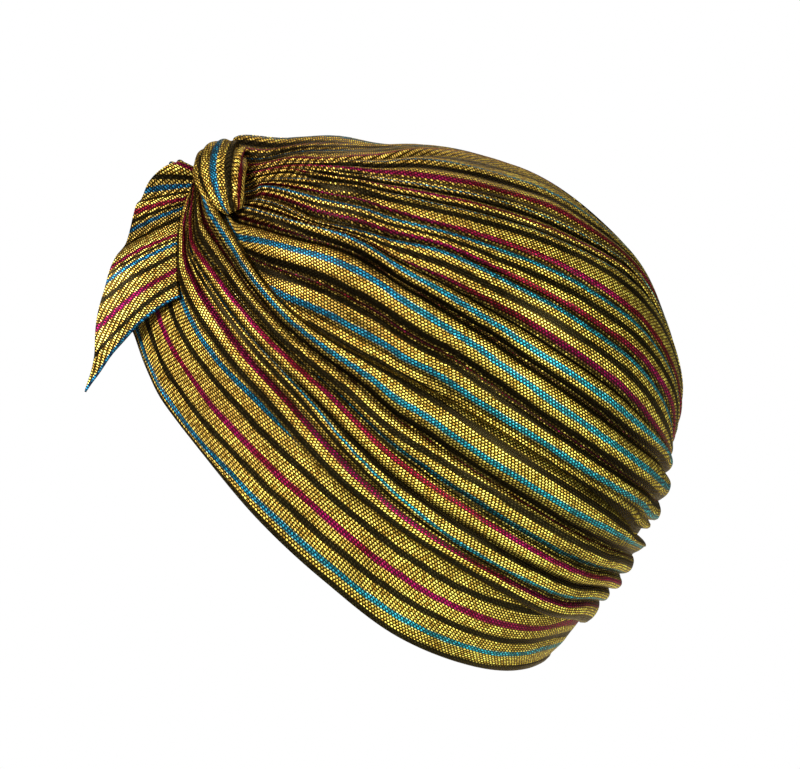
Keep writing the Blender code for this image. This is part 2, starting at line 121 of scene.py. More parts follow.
def placeOf(directions):
    x, y, z = np.moveaxis(directions, -1, 0)
    share = np.clip(np.hypot(y, z), 0, 1)
    radius = outlineRadius(np.degrees(np.arctan2(z, y)))
    fullness = np.clip(1 - share ** formShape["sideFullness"], 0, 1)
    width = formShape["halfWidth"] * fullness ** (1 / formShape["widthFullness"])
    y, z = formShape["centre"][0] + radius * y, formShape["centre"][1] + radius * z
    away = np.hypot(y - formShape["knotPlace"][0], z - formShape["knotPlace"][1])
    width = width * (1 - formShape["knotPinch"] * np.exp(-((away / formShape["pinchReach"]) ** 2)))
    return np.stack([np.sign(x) * width, y, z], axis=-1)


def normalsAt(directions):
    small = 0.004
    helper = np.where(np.abs(directions[..., :1]) > 0.9, (0.0, 1.0, 0.0), (1.0, 0.0, 0.0))
    across = np.cross(directions, helper)
    across /= np.linalg.norm(across, axis=-1, keepdims=True)
    along = np.cross(directions, across)

    def change(way):
        ends = [directions + side * small * way for side in (1, -1)]
        ends = [end / np.linalg.norm(end, axis=-1, keepdims=True) for end in ends]
        return placeOf(ends[0]) - placeOf(ends[1])

    normals = np.cross(change(across), change(along))
    normals *= np.sign((normals * directions).sum(-1, keepdims=True))
    return normals / np.linalg.norm(normals, axis=-1, keepdims=True)


def outwardAt(directions):
    # places on the form and the way out of it, level at the mid-plane
    base, normals = placeOf(directions), normalsAt(directions)
    middle = directions[..., 0] < 1e-6
    normals[middle, 0] = 0
    base[middle, 0] = 0
    return base, normals / np.linalg.norm(normals, axis=-1, keepdims=True)


def sectionLift(column, places):
    return smoothThrough(sectionPlaces, [row[column] for row in sections], places)


def sectionLine(column, places):
    # directions along a line that runs through every section
    if column == angleColumn:
        angles = np.radians(sectionLift(column, places))
        return np.stack([0 * angles, np.cos(angles), np.sin(angles)], axis=-1)
    points = np.array([directionOf(*row[column]) for row in sections])
    points[[0, -1], 0] = 0
    before, after = points[1] * (-1, 1, 1), points[-2] * (-1, 1, 1)   # its mirror image past both ends
    knots = [-sectionPlaces[1]] + list(sectionPlaces) + [2 * seamPlace - sectionPlaces[-2]]
    points = np.vstack([before, points, after])
    line = np.stack([smoothThrough(knots, points[:, k], places) for k in range(3)], axis=-1)
    line[:, 0] = np.maximum(line[:, 0], 0)
    return line / np.linalg.norm(line, axis=1, keepdims=True)


def between(low, high, share):
    low, high, share = low[:, None], high[:, None], share[..., None]
    angle = np.arccos(np.clip((low * high).sum(-1, keepdims=True), -1, 1))
    blended = np.sin((1 - share) * angle) * low + np.sin(share * angle) * high
    return blended / np.linalg.norm(blended, axis=-1, keepdims=True)


def distances(points, axis):
    # length run along one way of a grid of points
    steps = np.linalg.norm(np.diff(points, axis=axis), axis=-1)
    start = np.zeros_like(np.take(steps, [0], axis=axis))
    return np.concatenate([start, np.cumsum(steps, axis=axis)], axis=axis)


def mirrored(half, ways=1):
    # a half grid and its mirror image, which share the line at the mid-plane
    return np.concatenate([half, half[:, -2::-1] * ways], axis=1)


noiseShape = {"waves": 14, "sizes": (0.7, 1.8), "height": 3.2}   # height of them all together


def softNoise(points, size, seed):
    # smooth wobble of about -1 to 1, from waves that run every way
    seeded = np.random.default_rng(seed)
    total = np.zeros(points.shape[:-1])
    for _ in range(noiseShape["waves"]):
        way = seeded.normal(size=3)
        way *= 2 * math.pi / (size * seeded.uniform(*noiseShape["sizes"]) * np.linalg.norm(way))
        total += np.sin(points @ way + seeded.uniform(0, 2 * math.pi))
    return total / noiseShape["height"]


# Folds, pleats, stripes and seam of all the cloth
foldShape = {
    "sharpness": 2.5,   # higher makes the valleys between the folds narrower
    "halfway": 3.5,   # section where a fold has its middle height
    "valleyWidth": 0.75,   # share of half a fold whose valley gets painted shade
    "deepHeight": 1.9,   # height of a fold whose valleys get the full painted shade
}
pleatShape = {
    "pitch": 10.0,   # mm of cloth from crest to crest
    "wanderSize": 48,   # length over which a pleat wanders
    "patchSize": 30,   # length over which its height changes
    "patch": (0.75, 0.55),   # mean height and how much it changes
    "patchLimits": (0.1, 1.6),
    "crestRoundness": 0.01,
    "level": 0.4,   # part of its height that lies below the cloth
    # painted shade in the pleats' valleys: its share of half a pleat, the height that gets it in full, and
    # its most
    "valleyWidth": 0.6,
    "deepHeight": 1.1,
    "darkest": 0.85,
}
stripeShape = {
    "step": 5.0,   # mm of cloth from the middle of one stripe to that of the next
    "keptHalf": 1.7,   # half width that a stripe keeps where the cloth is stretched
    "stretched": 2.6,   # half a step that counts as stretched
}
seamShape = {"dip": 1.2, "reach": 5.0}   # depth at the centre back, and how far it reaches


def lineNumbers(look, stripes):
    return np.interp(stripes, list(look["lines"]), range(len(look["lines"])))


def stripeShares(look, places, stripes):
    # share of the way across, at each place along and each place across the cloth
    lines = look["lines"]
    table = np.array([smoothThrough(look["linePlaces"], row, places) for row in lines.values()]) / 100
    return np.array([np.interp(stripes, list(lines), table[:, i]) for i in range(len(places))])


def stripePlaces(look, places, stripes):
    # mm across the cloth that each point shows: what the pleats hide goes by quickly in the valleys
    numbers, hidePlaces, shows = lineNumbers(look, stripes), look["hidePlaces"], look.get("shows", {})

    def at(place, values):
        # from one value, or one for each of the hide places
        return np.interp(place, hidePlaces, np.broadcast_to(values, len(hidePlaces)))

    shown = []
    for place in places:
        marks = [(k, at(place, shows.get(mm, mm))) for k, mm in enumerate(look["lines"])]
        marks += [(line + at(place, shares), mm) for mm, line, *shares in look["hidden"]]
        shown.append(np.interp(numbers, *zip(*sorted(marks))))
    return np.array(shown)


def evenWidths(shown, across):
    # keeps stripes their own width where the cloth between them is stretched: near the middle of each
    # stripe a mm of cloth is a mm on the piece
    halfStep, kept = stripeShape["step"] / 2, stripeShape["keptHalf"]
    rows = []
    for cloth, real in zip(shown, across):
        middle = stripeShape["step"] * np.round(cloth / stripeShape["step"])
        centre = np.interp(middle, cloth, real)
        away = np.abs(real - centre)
        side = np.where(cloth >= middle, 1, -1)
        half = np.abs(np.interp(middle + halfStep * side, cloth, real) - centre)
        rest = np.maximum(away - kept, 0) * (halfStep - kept) / np.maximum(half - kept, 0.1)
        even = middle + side * np.minimum(np.minimum(away, kept) + rest, halfStep)
        rows.append(np.where(half > stripeShape["stretched"], even, cloth))
    return np.array(rows)


def foldHeights(look, places, stripes):
    # heights in mm, and how much light each point between its folds keeps in its colour, as painted shade
    numbers = lineNumbers(look, stripes)
    heights = np.zeros((len(places), len(stripes)))
    light = np.ones_like(heights)
    for start, end, *sizes in look["folds"]:
        t = np.clip((numbers - start) / (end - start), 0, 1)
        inside = (numbers >= start) & (numbers <= end)
        height = smoothThrough((0, foldShape["halfway"], seamPlace), sizes, places)[:, None]
        heights += height * (1 - np.abs(2 * t - 1) ** foldShape["sharpness"])
        shadow = 1 - eased01((1 - np.abs(2 * t - 1)) / foldShape["valleyWidth"])
        light -= inside * shadow * np.clip(height / foldShape["deepHeight"], 0, 1)
    return heights, light


def pleatHeights(look, stripes, places, points):
    # fine pleats with rounded crests and sharp valleys, which wander along the cloth, and a ripple, with
    # painted shade in their valleys
    pleats, shape = look["pleats"], pleatShape
    calm = np.clip(seamPlace - places, 0, 1)[:, None]
    wander = pleats["wander"] * calm * softNoise(points, shape["wanderSize"], pleats["seed"])
    phase = np.cos(math.pi * stripes / shape["pitch"] + wander)
    patch = shape["patch"][0] + shape["patch"][1] * softNoise(points, shape["patchSize"], pleats["seed"] + 1)
    amount = np.interp(places, pleats["places"], pleats["heights"])[:, None]
    amount = amount * np.clip(patch, *shape["patchLimits"])
    crest = np.sqrt(phase**2 + shape["crestRoundness"])
    shadow = 1 - eased01(np.abs(phase) / shape["valleyWidth"])
    shadow = shadow * np.clip(amount / shape["deepHeight"], 0, shape["darkest"])
    height, size, seed = look["ripple"]
    return amount * (crest - shape["level"]) + height * softNoise(points, size, seed), 1 - shadow


def seamPull(places, x):
    nearSeam = np.clip(np.asarray(places) - sectionPlaces[-2], 0, 1)[:, None]
    return seamShape["dip"] * nearSeam * np.exp(-((x / seamShape["reach"]) ** 2))


def shellFaces(rows, columns, openSides=()):
    # faces of a sheet's two sides and of its edges, apart from those that stay open
    number = np.arange(rows * columns).reshape(rows, columns)
    under = number + rows * columns
    a, b, c, d = number[:-1, :-1], number[1:, :-1], number[1:, 1:], number[:-1, 1:]
    faces = [np.stack([a, b, c, d], -1).reshape(-1, 4)]
    faces.append(np.stack([a, d, c, b], -1).reshape(-1, 4) + rows * columns)
    borders = {
        "first": (number[0, ::-1], under[0, ::-1]),
        "last": (number[-1], under[-1]),
        "low": (number[:, 0], under[:, 0]),
        "high": (number[::-1, -1], under[::-1, -1]),
    }
    for side, (top, bottom) in borders.items():
        if side not in openSides:
            faces.append(np.stack([top[1:], top[:-1], bottom[:-1], bottom[1:]], -1))
    return np.concatenate(faces)


def clothMesh(name, points, faces, weave, stripes, caps=()):
    # one object from points in mm. Points at the same place are joined, and each keeps its own cloth
    # coordinates: weave is mm along and across, stripes is mm across and its painted light in thousandths
    _, first, index = np.unique(np.round(points, 3), axis=0, return_index=True, return_inverse=True)
    index = index.reshape(-1)
    corners = points[faces]
    doubled = np.cross(corners[:, 1] - corners[:, 0], corners[:, 2] - corners[:, 0])
    doubled += np.cross(corners[:, 2] - corners[:, 0], corners[:, 3] - corners[:, 0])
    if (doubled * corners[:, 0]).sum() < 0:   # the faces look inwards
        faces = faces[:, ::-1]
        caps = [cap[::-1] for cap in caps]
    joined = [list(dict.fromkeys(face)) for face in index[faces].tolist()]
    keep = [k for k, face in enumerate(joined) if len(face) > 2]
    loops = []
    for k in keep:
        seen = set()
        for corner in faces[k]:
            if index[corner] not in seen:
                seen.add(index[corner])
                loops.append(corner)
    loops += [corner for cap in caps for corner in cap]
    polygons = [joined[k] for k in keep] + [index[cap].tolist() for cap in caps]
    mesh = bpy.data.meshes.new(name)
    mesh.from_pydata((points[first] * millimetre).tolist(), [], polygons)
    for label, values in (("weave", weave), ("stripes", stripes)):
        layer = mesh.uv_layers.new(name=label)
        values = np.asarray(values, np.float32)[loops].reshape(-1) * np.float32(millimetre)
        layer.data.foreach_set("uv", values)
    mesh.shade_smooth()
    made = bpy.data.objects.new(name, mesh)
    scene.collection.objects.link(made)
    print(name, "has", sum(len(p.vertices) - 2 for p in mesh.polygons), "triangles")
    return made


def sheetMesh(name, outer, inner, weave, marks, openSides=()):
    # a sheet with a wall, whose two sides have the same cloth coordinates
    points = np.concatenate([outer.reshape(-1, 3), inner.reshape(-1, 3)])
    weave, marks = (np.tile(np.stack(pair, -1).reshape(-1, 2), (2, 1)) for pair in (weave, marks))
    return clothMesh(name, points, shellFaces(*outer.shape[:2], openSides), weave, marks)


# Stripes repeat every 20 mm of cloth: blue at 0, black at 5, crimson at 10, black at 15. Each line
# of a piece is a place across the cloth in mm, and the percent of the way across the piece where
# it lies at each of its linePlaces. A ripple is given by its height, size and seed.
bandLook = {
    "slot": "band_cloth",
    "linePlaces": (0, 1, 2, 2.5, 3, 3.5, 4, 5, 6, 7, 8),
    "lines": {   # from the opening's edge to the wrap's lower edge
        -6: (0,) * 11,
        0: (6, 6, 6.5, 8, 14, 17.5, 19, 22, 29.5, 42, 48),
        5: (27, 27, 27, 28.5, 34, 39.5, 41, 43, 51.5, 65, 73),
        10: (48, 48, 50, 48.5, 53, 60, 60.5, 63, 73, 90, 100),
        15: (71, 71, 72, 72, 75.5, 82.5, 82.5, 84.5, 98, 116, 126),
        20: (91, 91, 92, 91, 97, 104, 105, 108, 122, 140, 152),
        25: (112, 112, 112, 112, 117, 125, 127, 131, 146, 164, 178),
    },
    "steps": (150, 64),   # along and across
    "wall": 1.1,
    "hemWidth": 3.2,   # turned edge round the opening
    "hemHeight": 0.5,
    "hemSharpness": 3,
    "tuck": (0.20, 0.34),   # how far it goes up under the wraps, front and back
    "rowGap": 0.001,   # share that stays between the rows that would go further
    "joined": 0.05,   # points this near the mid-plane lie on it
    "calm": (9, 0.25),   # mm at the opening and share at the top without pleats
    "pleats": {
        "wander": 0.7, "seed": 11,
        "places": (0, 1, 2.5, 5.5, 7, 8), "heights": (0.5, 0.25, 0.08, 0.1, 0.35, 0.6),
    },
    "ripple": (0.35, 34.0, 4),
    "finish": {"valleyShade": 0.25, "frontPaintedLight": (0.90, 0.84, 0.92), "backPaintedLight": (0.90, 1.0, 1.0)},
}


def makeBand():
    look = bandLook
    places = np.linspace(0, seamPlace, look["steps"][0])
    low, high = sectionLine(rimColumn, places), sectionLine(edgeColumn, places)
    stripes = np.linspace(min(look["lines"]), max(look["lines"]), look["steps"][1])
    tops = 1 + np.interp(places, (0, seamPlace), look["tuck"])[:, None]
    tops = tops - look["rowGap"] * np.arange(len(stripes))[::-1]
    shares = np.minimum(stripeShares(look, places, stripes), tops)
    base, normals = outwardAt(between(low, high, shares))
    base = np.concatenate([base[:0:-1] * (-1, 1, 1), base])
    normals = np.concatenate([normals[:0:-1] * (-1, 1, 1), normals])
    bothPlaces = np.concatenate([places[:0:-1], places])
    fromRim = distances(base, 1)
    heights, light = pleatHeights(look, stripes[None], bothPlaces, base)
    calmRim, calmTop = look["calm"]
    heights *= np.clip(fromRim / calmRim, 0, 1) * np.clip((tops[0, -1] - shares.mean(0)) / calmTop, 0, 1)
    hem = look["hemHeight"] * np.clip((look["hemWidth"] - fromRim) * look["hemSharpness"], 0, 1)
    outer = base + normals * (heights + hem - seamPull(bothPlaces, base[..., 0]))[..., None]
    inner = outer - normals * (look["wall"] + 2 * hem)[..., None]
    along = distances(base, 0)
    along -= along[len(places) - 1]
    shown = evenWidths(np.broadcast_to(stripes, fromRim.shape), fromRim)
    for grid in (outer, inner):   # its halves meet at the mid-plane
        grid[np.abs(grid[..., 0]) < look["joined"], 0] = 0
    return sheetMesh("bandCloth", outer, inner, (along, fromRim), (shown, 1000 * light), ("first", "last"))


wrapLook = {
    "slot": "wrap_cloth",
    "linePlaces": (0, 0.7, 1, 1.35, 2, 2.5, 3, 3.5, 4, 5, 6, 7, 8),
    "lines": {   # from its lower edge to the crease above it
        3: (0,) * 13,
        10: (26, 25, 23, 23, 24, 24, 23, 18, 12.5, 10, 14.5, 21, 24),
        30: (46, 43, 40, 44, 51, 55, 57, 50.5, 41, 37, 44.5, 51, 53),
        60: (72, 75, 79, 84, 87, 88, 88.5, 84, 76.5, 77.5, 86, 92, 94),
        68: (100,) * 13,
    },
    "hidePlaces": (1, 3, 4.5),   # sections where it is given what the pleats hide
    "hidden": (   # what the pleats hide: mm across, line, how far on to the next line
        (13, 1, 0.26, 0.24, 0.07), (17, 1, 0.50, 0.48, 0.11), (20, 1, 0.58, 0.58, 0.18),
        (22.5, 1, 0.60, 0.60, 0.30), (27.5, 1, 0.62, 0.62, 0.78), (33, 2, 0.10, 0.10, 0.06),
        (37, 2, 0.14, 0.13, 0.10), (40, 2, 0.15, 0.15, 0.18), (42.5, 2, 0.16, 0.17, 0.32),
        (45, 2, 0.36, 0.30, 0.50), (47.5, 2, 0.54, 0.65, 0.62), (50, 2, 0.72, 0.66, 0.64),
        (52.5, 2, 0.90, 0.67, 0.66), (55, 2, 0.91, 0.75, 0.74), (57.5, 2, 0.92, 0.87, 0.84),
        (63.5, 3, 0.80, 0.70, 0.44),
    ),
    "folds": (   # start and end, in lines, and heights at the knot, halfway and seam
        (0.0, 1.09, 1.5, 1.6, 1.8), (1.09, 1.6, 1.5, 1.7, 2.0), (1.6, 2.14, 1.7, 2.1, 3.2),
        (2.14, 2.68, 1.6, 2.3, 3.0), (2.68, 4.0, 2.3, 2.9, 2.6),
    ),
    "steps": (150, 110),
    "start": 0.25,
    "wall": 1.0,
    "gap": 2.3,   # height of its outer side over the form, between folds
    "edge": (2.2, 1.1),   # width and drop of its rounded edges
    "apart": 0.15,   # from the mid-plane, so that the two wraps don't touch
    "pleats": {
        "wander": 0.5, "seed": 21,
        "places": (0, 1, 2, 4, 6, 7, 8), "heights": (1.1, 1.0, 0.7, 0.4, 0.5, 0.6, 0.6),
    },
    "ripple": (0.25, 34.0, 5),
    "finish": {"valleyShade": 0.14, "frontPaintedLight": (1.08, 1.0, 1.1), "backPaintedLight": (1.06, 1.18, 1.15)},
}


def makeWraps():
    look = wrapLook
    places = np.linspace(look["start"], seamPlace, look["steps"][0])
    low, high = sectionLine(edgeColumn, places), sectionLine(valleyColumn, places)
    stripes = np.linspace(min(look["lines"]), max(look["lines"]), look["steps"][1])
    base, normals = outwardAt(between(low, high, stripeShares(look, places, stripes)))
    folds, foldLight = foldHeights(look, places, stripes)
    fromEdge = distances(base, 1)
    shown = evenWidths(stripePlaces(look, places, stripes), distances(base + normals * folds[..., None], 1))
    edgeWidth, edgeDrop = look["edge"]
    edges = np.clip(np.minimum(fromEdge, fromEdge[:, -1:] - fromEdge) / edgeWidth, 0, 1)
    edges = np.sqrt(1 - (1 - edges) ** 2)
    made = []
    for name, side in (("leftWrapCloth", 1), ("rightWrapCloth", -1)):
        fine, light = pleatHeights(look, shown, places, base * (side, 1, 1))
        heights = folds + fine * edges + sectionLift(wrapLiftColumn, places)[:, None]
        heights += look["gap"] - edgeDrop * (1 - edges) - seamPull(places, base[..., 0])
        outer = base + normals * heights[..., None]
        inner = outer - normals * look["wall"]
        weave, marks = (distances(base, 0), distances(outer, 1)), (shown, 1000 * light * foldLight)
        for grid in (outer, inner):
            grid[..., 0] = np.maximum(grid[..., 0], look["apart"]) * side
        made.append(sheetMesh(name, outer, inner, weave, marks))
    return made


crownLook = {
    "slot": "crown_cloth",
    "linePlaces": (0.7, 1.35, 2, 2.5, 2.75, 3, 3.5, 4, 5, 6, 7, 8),
    "lines": {   # from the crease to the mid-plane, and over it near the knot
        -12: (-14, -14, -15, -12, -10, -9, -8.5, -8, -11, -24, -42, -58),
        -5: (-10, -10, -11, -6, -3, -0.6, 0.2, -0.8, 0, 2, 4, 6),
        0: (-5, -6, -8, -2.5, 1, 3.8, 4.8, 3.4, 3.8, 8, 13, 18),
        20: (4, 3, 0.5, 9.7, 14.5, 17.7, 18.4, 14.1, 14.3, 19.5, 29, 41),
        40: (17, 16, 15, 20.5, 23.8, 26.5, 26, 22, 24, 32.5, 45, 55),
        50: (23, 21, 18.5, 23, 25.5, 27.8, 29.5, 27.4, 29.6, 35.5, 49, 62),
        60: (27, 25, 22, 25.5, 26.6, 28.8, 36.2, 35.6, 38.8, 43.5, 54, 68),
        70: (31, 29, 27.5, 30, 31.5, 34, 38.8, 37.6, 42, 48, 58, 72),
        80: (36, 34, 31.5, 34, 36, 39, 43, 45.2, 50.6, 56, 66, 80),
        90: (39, 37, 34, 36.5, 39, 42.5, 45.5, 47.8, 54.2, 60, 70, 83),
        100: (44, 41, 37, 40.6, 43.5, 48, 52.5, 57, 66, 74, 83, 91),
        110: (49, 45, 40.5, 43.3, 46.5, 51, 55.7, 60, 69.5, 77.5, 86, 94),
        130: (60, 55, 47, 49, 53, 59, 64.5, 70.5, 77, 84, 91, 97),
        140: (65, 60, 51, 52, 60, 68, 75, 80, 86, 90, 95, 98.5),
        150: (70, 65, 55, 56, 68, 79, 92, 103, 108, 108, 108, 108),
        170: (88, 82, 74, 82, 96, 106, 114, 118, 118, 118, 118, 118),
        190: (118,) * 12,
    },
    "hidePlaces": (2.2, 2.7, 3, 4),
    "shows": {   # lines that show other cloth at those places
        40: (37.5, 37.5, 40, 40), 50: (52, 52, 52, 50), 60: (62.5, 62.5, 60, 60),
        70: (72.5, 72.5, 72, 70), 80: (82, 82.5, 82.5, 80), 90: (92.5, 92.5, 92.5, 90),
        100: (100, 102, 102.5, 102.5), 110: (102.8, 110, 110, 110),
    },
    "hidden": (
        (5.5, 2, 0.40), (14.5, 2, 0.58), (25.5, 3, 0.54, 0.54, 0.54, 0.52),
        (34, 3, 0.80, 0.75, 0.62, 0.64), (43, 4, 0.08, 0.10, 0.50, 0.52),
        (47.5, 4, 0.93, 0.93, 0.93, 0.76), (57.5, 5, 0.90, 0.90, 0.78, 0.75),
        (63, 6, 0.40, 0.40, 0.40, 0.36), (67.5, 6, 0.55, 0.55, 0.55, 0.60),
        (83, 8, 0.40, 0.40, 0.40, 0.38), (87.5, 8, 0.55, 0.55, 0.55, 0.60),
        (97.5, 9, 0.70, 0.97, 0.985, 0.985), (105, 10, 1.31, 0.55, 0.45, 0.42),
        (107.3, 10, 1.50, 0.82, 0.78, 0.78), (112.5, 11, 0.58, 0.15, 0.15, 0.15),
        (117.5, 11, 0.75, 0.44, 0.44, 0.44), (122.5, 11, 0.77, 0.47, 0.47, 0.47),
        (137.5, 12, 0.96), (142.5, 13, 0.04), (157.5, 14, 0.45), (162.5, 14, 0.60),
    ),
    "folds": (
        (1.0, 1.65, 0.6, 1.0, 2.4), (1.65, 2.5, 1.5, 2.5, 3.1), (2.5, 3.6, 2.2, 3.3, 3.3),
        (3.6, 4.68, 2.0, 2.8, 3.0), (4.68, 6.5, 1.8, 2.2, 2.2), (6.5, 8.5, 1.8, 2.0, 1.8),
        (8.5, 10.45, 1.8, 1.8, 1.6), (10.45, 11.3, 1.7, 1.5, 1.5), (11.3, 11.8, 1.5, 1.5, 1.3),
        (11.8, 12.5, 1.5, 1.2, 0.9), (12.5, 13.5, 1.5, 1.0, 0.7), (13.5, 14.5, 1.6, 0.9, 0.5),
        (14.5, 15.2, 1.6, 0.6, 0.3), (15.2, 16.0, 1.2, 0.3, 0.2),
    ),
    "steps": (128, 172),
    "rowLimits": (-20, 103),   # percent that still counts where its rows are spaced
    "start": 0.85,
    "wall": 1.0,
    "deepestPleat": 0.3,
    "wrapShadow": 0.08,   # share of it, beside the wrap, where its folds flatten out
    "knotAngle": 129.4,   # angle of the knot's middle line on the outline
    "knotHalf": 30.0,   # half the length of that line
    "knotRoom": (2.5, 6.5),   # distances from it where the folds start and are full
    "pleats": {
        "wander": 0.45, "seed": 31,
        "places": (0.8, 1.4, 2.2, 4, 6, 7, 8), "heights": (0.3, 0.7, 1.1, 0.6, 0.5, 0.6, 0.6),
    },
    "ripple": (0.3, 36.0, 6),
    "finish": {"valleyShade": 0.10, "frontPaintedLight": (0.97, 0.86, 0.94), "backPaintedLight": (0.90, 1.0, 0.98)},
}


def rowPlaces(look):
    # places across the cloth for the rows of its mesh, closer where the cloth is spread out
    lines = look["lines"]
    spread = np.mean([np.clip(row, *look["rowLimits"]) for row in lines.values()], axis=1)
    spread = spread / np.ptp(spread) + np.array(list(lines)) / np.ptp(list(lines))
    return np.interp(np.linspace(spread[0], spread[-1], look["steps"][1]), spread, list(lines))


def awayFromKnot(look, directions):
    base = placeOf(directions)
    angle = np.arctan2(directions[..., 2], directions[..., 1])
    reach = np.hypot(base[..., 1] - formShape["centre"][0], base[..., 2] - formShape["centre"][1])
    along = (math.radians(look["knotAngle"]) - angle) * reach
    beyond = np.maximum(np.abs(base[..., 0]) - look["knotHalf"], 0)
    near, far = look["knotRoom"]
    return eased01((np.hypot(along, beyond) - near) / (far - near))


def makeCrown():
    look = crownLook
    places = np.linspace(look["start"], seamPlace, look["steps"][0])
    low, high = sectionLine(valleyColumn, places), sectionLine(angleColumn, places)
    stripes = rowPlaces(look)
    shares = np.minimum(stripeShares(look, places, stripes), 1)
    directions = between(low, high, shares)
    base, normals = outwardAt(directions)
    rise = np.sin(np.clip(shares, 0, 1) ** 2 * math.pi / 2) ** 2
    lift = sectionLift(crownLiftColumn, places)[:, None] * rise
    shade = np.clip(shares / look["wrapShadow"], 0, 1)
    folds, foldLight = foldHeights(look, places, stripes)
    across = distances(base + normals * (folds * shade)[..., None], 1)
    shown = evenWidths(stripePlaces(look, places, stripes), across)
    shown, across = (np.concatenate([v, 2 * v[:, -1:] - v[:, -2::-1]], axis=1) for v in (shown, across))
    placed, out = mirrored(base, (-1, 1, 1)), mirrored(normals, (-1, 1, 1))
    fine, light = pleatHeights(look, shown, places, placed)
    heights = (mirrored(folds) + np.maximum(fine, -look["deepestPleat"])) * mirrored(shade) + mirrored(lift)
    heights = heights * mirrored(awayFromKnot(look, directions)) - seamPull(places, placed[..., 0])
    outer = placed + out * heights[..., None]
    inner = outer - out * look["wall"]
    for grid in (outer, inner):   # the two sides meet on the seam
        grid[-1, len(stripes):] = grid[-1, len(stripes) - 2 :: -1] * (-1, 1, 1)
        grid[-1, :, 0] = 0
    weave, marks = (mirrored(distances(base, 0)), across), (shown, 1000 * light * mirrored(foldLight))
    return sheetMesh("crownCloth", outer, inner, weave, marks, ("last",))


rollShape = {
    "wobble": (6, 16, 9),   # reach round the middle line, size, seed
    "level": 0.6,   # part of a pleat's height that lies below the cloth
    "patch": (0.8, 0.4),   # mean height of its pleats and how much it changes
    "swell": 0.25,
    # share of a pleat whose valley gets painted shade
    "valleyWidth": 0.6,
}


def formFrames(side, angle, lift, signs):
    # middles of a roll of cloth over the form, and the ways across it and out
    width = np.array(side, float)
    for _ in range(6):   # closes in on the direction that lies this far from the mid-plane
        fullness = 1 - (width / formShape["halfWidth"]) ** formShape["widthFullness"]
        share = fullness ** (1 / formShape["sideFullness"])
        angles = np.radians(angle)
        ways = (np.sqrt(1 - share**2) * signs, share * np.cos(angles), share * np.sin(angles))
        directions = np.stack(ways, axis=-1)
        width *= (side + 1e-9) / (np.abs(placeOf(directions)[:, 0]) + 1e-9)
    outward = normalsAt(directions)
    outward[side < 1e-6, 0] = 0
    centres = placeOf(directions) + outward * np.reshape(lift, (-1, 1))
    path = np.gradient(centres, axis=0)
    path /= np.linalg.norm(path, axis=1, keepdims=True)
    outward -= path * (outward * path).sum(1, keepdims=True)
    outward /= np.linalg.norm(outward, axis=1, keepdims=True)
    return centres, np.cross(path, outward), outward


def rollOfCloth(name, frames, wide, thick, look, turnAlong):
    # an oval roll with rounded pleats that turn along it
    centres, across, outward = frames
    number, height = look["pleats"]
    turns = np.linspace(0, 2 * math.pi, look["steps"][1] + 1)
    ring = np.append(turns[:-1], 0)   # ends where it starts
    pleats = np.abs(np.cos(number / 2 * (ring[None] + turnAlong[:, None])))
    wobbleReach, size, seed = rollShape["wobble"]
    circle = np.stack([np.cos(ring), np.sin(ring), 0 * ring], -1)
    wobble = softNoise(centres[:, None] + wobbleReach * circle, size, seed)
    patch = rollShape["patch"][0] + rollShape["patch"][1] * wobble
    swell = 2 * (pleats - rollShape["level"]) * patch + rollShape["swell"] * wobble
    reach = 1 + height * swell / (wide + thick).max()
    points = (
        centres[:, None]
        + across[:, None] * (wide[:, None] * reach * np.cos(ring))[..., None]
        + outward[:, None] * (thick[:, None] * reach * np.sin(ring))[..., None]
    )
    radius = (wide + thick).mean() / 2
    around = turns * radius + turnAlong[:, None] * radius
    # painted shade in the valleys between the pleats, kept in the stripes map
    paintedValleyLight = eased01(pleats / rollShape["valleyWidth"])
    weave = np.stack([distances(points, 0), distances(points, 1)], -1)
    marks = np.stack([around + look["stripeStart"], 1000 * paintedValleyLight], -1)
    rows, columns = points.shape[:2]
    grid = np.arange(rows * columns).reshape(rows, columns)
    faces = np.stack([grid[:-1, :-1], grid[1:, :-1], grid[1:, 1:], grid[:-1, 1:]], -1).reshape(-1, 4)
    caps = [grid[0, :-1], grid[-1, -2::-1]]
    return clothMesh(name, points.reshape(-1, 3), faces, weave.reshape(-1, 2), marks.reshape(-1, 2), caps)


knotLook = {
    "slot": "knot_cloth",
    "rows": (   # from its end to the mid-plane: distance from the mid-plane,
        (35.5, 134.6, 2.6, 3.0, 2.0),   # angle on the outline, lift, half width, half thickness
        (33.0, 134.0, 4.6, 5.4, 4.2),
        (25.0, 132.2, 7.0, 9.0, 6.4),
        (15.5, 130.6, 8.2, 9.8, 6.8),
        (7.5, 129.8, 8.6, 8.8, 6.4),
        (0.0, 129.4, 8.2, 7.6, 5.8),
    ),
    "steps": (96, 144),
    "pleats": (10, 2.2),   # number round it, height
    "turn": 1.8,   # how far the pleats turn from its middle to its end
    "stripeStart": 4.0,
    "fill": 0.7,
    "finish": {"valleyShade": 0.40},
}


def makeKnot():
    look = knotLook
    along = np.linspace(-1, 1, look["steps"][0] + 1)
    knots = np.linspace(0, 1, len(look["rows"]))
    side, angle, lift, wide, thick = (
        smoothThrough(knots, [row[k] for row in look["rows"][::-1]], abs(along)) for k in range(5)
    )
    frames = formFrames(side, angle, lift, np.sign(along))
    return rollOfCloth("knotCloth", frames, wide, thick, look, look["turn"] * along)


neckLook = {
    "slot": "neck_cloth",
    "rows": ((0.0, 4.6, 7.2), (4.4, 4.4, 6.8), (6.2, 3.8, 5.4), (7.0, 2.6, 3.4)),   # place, half sizes
    "angle": 137.2,
    "lift": 10.4,
    "steps": (48, 96),
    "pleats": (8, 1.2),
    "stripeStart": 12.0,
    "fill": 0.7,
    "finish": {"valleyShade": 0.20},
}


